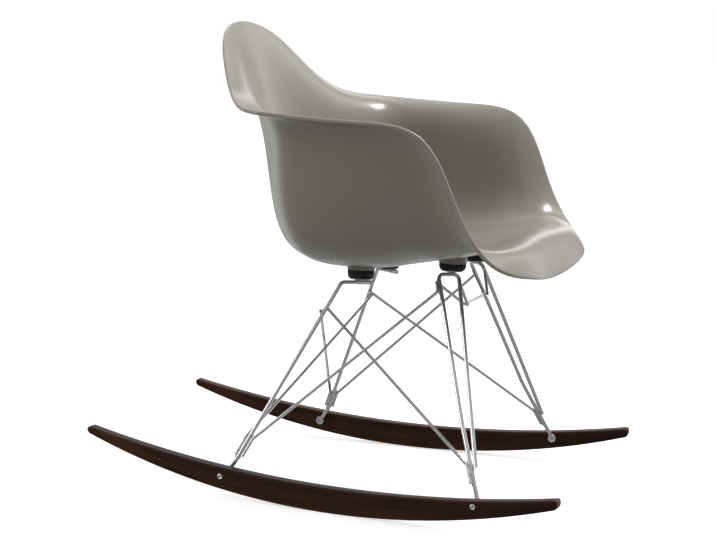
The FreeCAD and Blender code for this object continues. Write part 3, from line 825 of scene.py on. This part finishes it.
bolt = turned_mesh("bolt", [
    (0, -0.9), (1.75, -0.9, 6), (1.75, -2.3, 6), (2.5, -2.6), (3.2, -2.5), (3.95, -2.0), (4.35, -1.3),
    (4.5, -0.5), (4.4, -0.05), (3, 0), (3, BOLT_LONG - 0.4), (2.6, BOLT_LONG), (0, BOLT_LONG)])
bush = turned_mesh("bush", [
    (3.1, 0.5), (3.6, 0), (5.5, 0), (6, 0.5), (6, BUSH_LONG - 0.6), (5.4, BUSH_LONG), (3.6, BUSH_LONG),
    (3.1, BUSH_LONG - 0.5)])
axes = [bolt_axis(side, end) for end in BOLTS for side in SIDES]
heads = [facing(start + way * BOLT_RECESS, way) for start, way in axes]
feet = [facing(start + way * ROCKER_THICK, way) for start, way in axes]
add_piece("rocker_bolts", set_out(bolt, heads, ZINC), ZINC, "bolt",
          "rear_rocker_bolts", "front_rocker_bolts")
add_piece("foot_bushes", set_out(bush, feet, CHROME), CHROME, "bush",
          "rear_foot_bushes", "front_foot_bushes")


# Wire base, drawn for the left side and mirrored

LEG, BRACE, TOUCH = 3.0, 2.25, 0.1
ROD_BEND, BEND_STEPS, ROD_SIDES = 8, 7, 20
END_CHAMFER, END_SHARE = 0.7, 0.72
BAR_ASIDE = 9.2
BEAD_DEEP, BEAD_WIDE, BEAD_LONG = 0.95, 2.0, 5.2
MIRROR = Vector((-1, 1, 1))
CONTACTS = []


def at_height(line, height):
    """Point of a line at a height."""
    start, end = line
    return start + (end - start) * ((height - start.z) / (end.z - start.z))


def beside(line, height, towards, radius=BRACE):
    """Axis of a rod that lies against a leg at a height, on the side given by towards."""
    run = (line[1] - line[0]).normalized()
    towards = Vector(towards)
    sideways = (towards - run * towards.dot(run)).normalized()
    on_leg = at_height(line, height)
    point = on_leg + sideways * (LEG + radius + TOUCH)
    CONTACTS.append((on_leg + sideways * (LEG + TOUCH / 2), run, sideways, radius))
    return point


def bar_ends(end, direction, behind, ahead):
    """Ends of a leg's level bar, which passes beside the mount's screw."""
    direction = Vector(direction).normalized()
    centre = MOUNTS[end][0].copy()
    centre.z -= PLATE_HIGH + LEG + TOUCH
    middle = centre + Vector((-direction.y, direction.x, 0)) * BAR_ASIDE
    return middle - direction * behind, middle + direction * ahead


def bush_centre(end):
    """Middle of a left bush, where the wire foot ends."""
    start, inwards = bolt_axis("left", end)
    return start + inwards * (ROCKER_THICK + BUSH_LONG / 2)


REAR_BUSH, FRONT_BUSH = bush_centre("rear"), bush_centre("front")
REAR_BAR = bar_ends("rear", (-0.548, -0.837, 0), 30, 14)
FRONT_BAR = bar_ends("front", (-0.68, -0.733, 0), 26.5, 5.5)
ANKLE = REAR_BUSH + Vector((0, -11.5, 19))
KNEE = at_height((FRONT_BUSH, FRONT_BAR[0]), FRONT_BUSH.z + 91) + Vector((-6, 5, 0))
TIE_CORNER = Vector((56, -153, FRONT_BAR[0].z - 43))
REAR_LINE, FRONT_LINE, STEM_LINE = (ANKLE, REAR_BAR[0]), (KNEE, FRONT_BAR[0]), (FRONT_BUSH, KNEE)


def above(foot, rise):
    """Height of a place above a foot."""
    return foot.z + rise


def under(bar, drop):
    """Height of a place under a leg's level bar."""
    return bar[0].z - drop


def left_rods():
    """Corners of every rod of the left side."""
    hair_end = beside(STEM_LINE, above(FRONT_BUSH, 40), (-0.3, -1, 0), LEG)
    yield "rear_leg", 2 * LEG, [REAR_BUSH, ANKLE, *REAR_BAR]
    yield "front_leg", 2 * LEG, [FRONT_BUSH, KNEE, *FRONT_BAR, hair_end]
    yield "side_brace_long", 2 * BRACE, [
        beside(REAR_LINE, above(REAR_BUSH, 26.8), (0, -1, 0)),
        beside(REAR_LINE, above(REAR_BUSH, 50.8), (0, -1, 0)),
        beside(FRONT_LINE, under(FRONT_BAR, 22.4), (1, 0.6, 0)),
        beside(FRONT_LINE, under(FRONT_BAR, 9.4), (1, 0.6, 0))]
    yield "side_brace_short", 2 * BRACE, [
        beside(STEM_LINE, above(FRONT_BUSH, 24), (0, 1, 0)),
        beside(STEM_LINE, above(FRONT_BUSH, 46), (0, 1, 0)),
        beside(REAR_LINE, under(REAR_BAR, 35), (-1, 0, 0))]
    yield "front_tie_post", 2 * BRACE, [
        beside((hair_end, FRONT_BAR[1]), under(FRONT_BAR, 12.4), (-1, 0, 0)),
        TIE_CORNER + Vector((1, -4.7, -1))]


def mirrored(contact):
    """The same contact on the chair's other side."""
    point, run, sideways, radius = contact
    return point * MIRROR, run * MIRROR, sideways * MIRROR, radius


def cross_rod(sign):
    """Rear cross brace from a left foot to the right leg, on the rear or the front of that leg."""
    foot = [beside(REAR_LINE, above(REAR_BUSH, rise), (0, 1, 0)) for rise in (24.8, 47.8)]
    top = beside(REAR_LINE, under(REAR_BAR, 42), (0, sign, 0))
    CONTACTS.append(mirrored(CONTACTS.pop()))
    return foot + [top * MIRROR]


def rod_mesh(corners, thickness):
    """Rod through its corners, with a small chamfer at each cut end."""
    first = corners[0] + (corners[1] - corners[0]).normalized() * END_CHAMFER
    last = corners[-1] + (corners[-2] - corners[-1]).normalized() * END_CHAMFER
    points = [corners[0], first, *corners[1:-1], last, corners[-1]]
    line = bpy.data.curves.new("rod_line", "CURVE")
    line.dimensions = "3D"
    run = line.splines.new("POLY")
    run.points.add(len(points) - 1)
    for point, place in zip(run.points, points):
        point.co = (*(place * MM), 1)
    run.points[0].radius = run.points[-1].radius = END_SHARE
    mesh = BENT_ROD.run(line, Thickness=thickness * MM, Bend=ROD_BEND * MM, Steps=BEND_STEPS,
                        Sides=ROD_SIDES, Finish=CHROME)
    mesh.set_sharp_from_angle(angle=math.radians(35))
    return mesh


def on_side(points, side):
    """Left points moved to a side."""
    return [Vector((SIDES[side] * p.x, p.y, p.z)) for p in points]


def add_rod(label, corners, thickness=2 * BRACE):
    """Show a rod in place of the solid of the same label."""
    add_piece("wire_" + label, rod_mesh(corners, thickness), CHROME, "wire", label)


for name, thickness, corners in list(left_rods()):
    for side in SIDES:
        add_rod("%s_%s" % (name, side), on_side(corners, side), thickness)
left_contacts = list(CONTACTS)
CONTACTS.clear()
for side, sign in (("left", 1), ("right", -1)):
    corners = cross_rod(sign)
    if side == "right":
        CONTACTS[-3:] = [mirrored(contact) for contact in CONTACTS[-3:]]
    add_rod("rear_cross_brace_" + side, on_side(corners, side))
cross_contacts = list(CONTACTS)
CONTACTS.clear()
tie = [beside(FRONT_LINE, under(FRONT_BAR, 13.4), (-1, 0, 0)), TIE_CORNER]
add_rod("front_tie", tie + on_side(tie[::-1], "right"))
left_contacts += CONTACTS


def weld_place(contact):
    """A bead pressed into the groove between a leg and the rod beside it."""
    point, run, sideways, radius = contact
    size = Matrix.Diagonal((BEAD_DEEP, BEAD_WIDE + radius * 0.15, BEAD_LONG, 1))
    return facing(point, run, sideways) @ size


def bead_mesh():
    """Ball of 1 mm radius, which each weld stretches."""
    ball = bmesh.new()
    bmesh.ops.create_uvsphere(ball, u_segments=16, v_segments=12, radius=MM)
    mesh = bpy.data.meshes.new("bead")
    ball.to_mesh(mesh)
    ball.free()
    mesh.shade_smooth()
    return mesh


welds = [either for contact in left_contacts for either in (contact, mirrored(contact))] + cross_contacts
beads = [weld_place(contact) for contact in welds]
add_piece("weld_beads", set_out(bead_mesh(), beads, WELD), WELD, "wire")


# Floor, light and camera, in metres

FLOOR_HALF, FLOOR_GAP, FLOOR_GLOW = 14, 0.0004, 0.66


def pale_floor():
    """White floor with faint contact shadows, clear when seen from below."""
    f = Finish("pale_floor")
    speck = f.noise(f.place(), 3, 2)
    white = f.node("ShaderNodeBsdfPrincipled", sockets={
        "Base Color": f.blend(speck, (0.76, 0.76, 0.76, 1), (0.80, 0.80, 0.80, 1)), "Roughness": 0.7,
        "Emission Color": (1, 1, 1, 1), "Emission Strength": FLOOR_GLOW})
    below = f.node("ShaderNodeNewGeometry", out="Backfacing")
    clear = f.node("ShaderNodeBsdfTransparent")
    both = f.node("ShaderNodeMixShader", sockets={0: below, 1: white, 2: clear})
    f.node("ShaderNodeOutputMaterial", sockets={"Surface": both})
    corners = [(x * FLOOR_HALF, y * FLOOR_HALF, 0) for x, y in ((-1, -1), (1, -1), (1, 1), (-1, 1))]
    mesh = bpy.data.meshes.new("floor")
    mesh.from_pydata(corners, [], [(0, 1, 2, 3)])
    mesh.materials.append(f.material)
    floor = in_scene("floor", mesh)
    floor.location.z = -FLOOR_GAP
    floor.visible_diffuse = False
    floor.visible_glossy = False


def softbox(name, place, aim, wide, high, power, tint=(1, 1, 1)):
    """Rectangular light at a place, turned to what it lights."""
    lamp = bpy.data.lights.new(name, "AREA")
    lamp.shape, lamp.size, lamp.size_y = "RECTANGLE", wide, high
    lamp.energy, lamp.color = power, tint
    box = in_scene(name, lamp)
    box.location = place
    box.rotation_euler = (Vector(aim) - Vector(place)).to_track_quat("-Z", "Y").to_euler()


def studio():
    """White backdrop for the camera, and for the chair a room with a bright far side, light panels,
    a bright ceiling and two softboxes."""
    world = bpy.data.worlds.new("studio")
    bpy.context.scene.world = world
    world.use_nodes = True
    t = Tree(world.node_tree)
    t.tree.nodes.clear()
    seen = t.node("ShaderNodeLightPath", out="Is Camera Ray")
    way = t.node("ShaderNodeTexCoord", out="Generated")
    parts = t.node("ShaderNodeSeparateXYZ", sockets={"Vector": way}).socket.node
    far, beside_it, high = (Output(t, parts.outputs[axis]) * 0.5 + 0.5 for axis in "XYZ")
    wall = t.ramp(far, (0.0, 0.37), (0.5, 0.41), (0.75, 0.68), (0.95, 1.1))
    panels = t.ramp(beside_it, (0.0, 0.75), (0.14, 0.55), (0.28, 0.95), (0.35, 1.35), (0.41, 0.35),
                    (0.50, 0.30), (0.54, 1.60), (0.60, 0.55), (1.0, 0.80))
    ceiling = t.ramp(high, (0.0, 1.05), (0.47, 0.92), (0.53, 1.02), (0.75, 1.3), (1.0, 2.2))
    glow = t.blend(1.0, wall, ceiling, "MULTIPLY")
    glow = t.blend(1.0, glow, panels, "MULTIPLY")
    room = t.node("ShaderNodeBackground", sockets={"Color": glow, "Strength": 1.0})
    white = t.node("ShaderNodeBackground", sockets={"Color": (1, 1, 1, 1), "Strength": 1.0})
    mixed = t.node("ShaderNodeMixShader", sockets={0: seen, 1: room, 2: white})
    t.node("ShaderNodeOutputWorld", sockets={"Surface": mixed})
    softbox("overhead", (0.95, -1.0, 2.5), aim=(0, -0.1, 0.35), wide=0.7, high=0.7, power=50)
    softbox("rear_fill", (-1.6, 2.4, 1.3), aim=(0, 0.1, 0.4), wide=0.7, high=1.8, power=22,
            tint=(0.98, 1.0, 0.96))


def camera():
    """The photo's camera, fitted to its picture."""
    lens = bpy.data.cameras.new("photo_camera")
    lens.lens, lens.sensor_width, lens.sensor_fit = 105.69, 36, "HORIZONTAL"
    lens.clip_start, lens.clip_end = 0.1, 60
    azimuth, elevation, roll = math.radians(-72.8095), math.radians(7.8283), 0.0524
    back = Vector((math.sin(azimuth) * math.cos(elevation), -math.cos(azimuth) * math.cos(elevation),
                   math.sin(elevation)))
    right = (-back).cross(UP).normalized()
    up = back.cross(right)
    c, s = math.cos(roll), math.sin(roll)
    turn = Matrix((right * c + up * s, up * c - right * s, back)).transposed().to_4x4()
    eye = in_scene("photo_camera", lens)
    eye.matrix_world = Matrix.Translation((-2.87746, -0.86713, 0.71497)) @ turn
    bpy.context.scene.camera = eye


pale_floor()
studio()
camera()
bpy.context.scene.view_settings.view_transform = "Standard"
